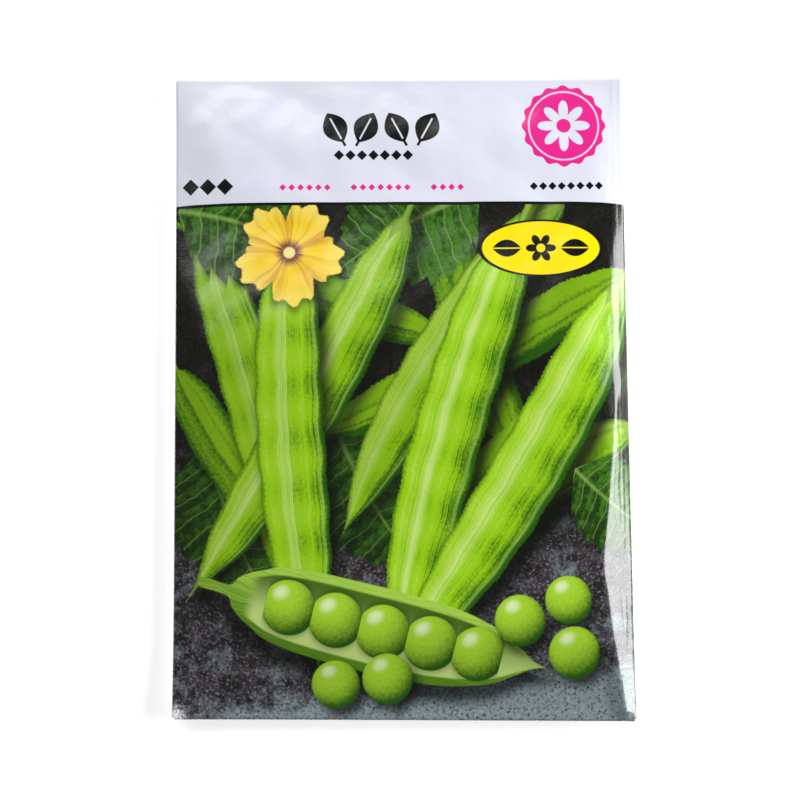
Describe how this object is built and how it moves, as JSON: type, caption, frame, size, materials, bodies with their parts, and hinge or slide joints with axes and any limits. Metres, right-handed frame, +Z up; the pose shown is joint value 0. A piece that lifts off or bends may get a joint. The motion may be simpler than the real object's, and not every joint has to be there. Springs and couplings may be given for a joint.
{
  "type": "seed packet",
  "caption": "Sealed, gloss-printed paper seed packet lying on its back, with glued side, top and bottom laps and a loose layer of round seeds that swells its lower half.",
  "frame": {"origin": "under the middle of the packet, on the surface that its back rests on", "axes": "+X to the right of the printed front, +Y to its top edge, +Z up, out of the front"},
  "size_m": [0.081, 0.1144, 0.0063],
  "materials": {
    "printed_paper": "satin",
    "dry_glue": "satin",
    "seed_coat": "matte"
  },
  "bodies": {
    "root": {"envelope": "printed_paper", "side_seam_glue": "dry_glue", "bottom_flap_glue": "dry_glue", "top_flap_glue": "dry_glue", "seed_01": "seed_coat", "seed_02": "seed_coat", "seed_03": "seed_coat", "seed_04": "seed_coat", "seed_05": "seed_coat", "seed_06": "seed_coat", "seed_07": "seed_coat", "seed_08": "seed_coat", "seed_09": "seed_coat", "seed_10": "seed_coat", "seed_11": "seed_coat", "seed_12": "seed_coat", "seed_13": "seed_coat", "seed_14": "seed_coat", "seed_15": "seed_coat", "seed_16": "seed_coat", "seed_17": "seed_coat", "seed_18": "seed_coat", "seed_19": "seed_coat", "seed_20": "seed_coat", "seed_21": "seed_coat", "seed_22": "seed_coat", "seed_23": "seed_coat", "seed_24": "seed_coat", "seed_25": "seed_coat", "seed_26": "seed_coat", "seed_27": "seed_coat", "seed_28": "seed_coat", "seed_29": "seed_coat", "seed_30": "seed_coat", "seed_31": "seed_coat", "seed_32": "seed_coat", "seed_33": "seed_coat", "seed_34": "seed_coat"}
  },
  "joints": []
}
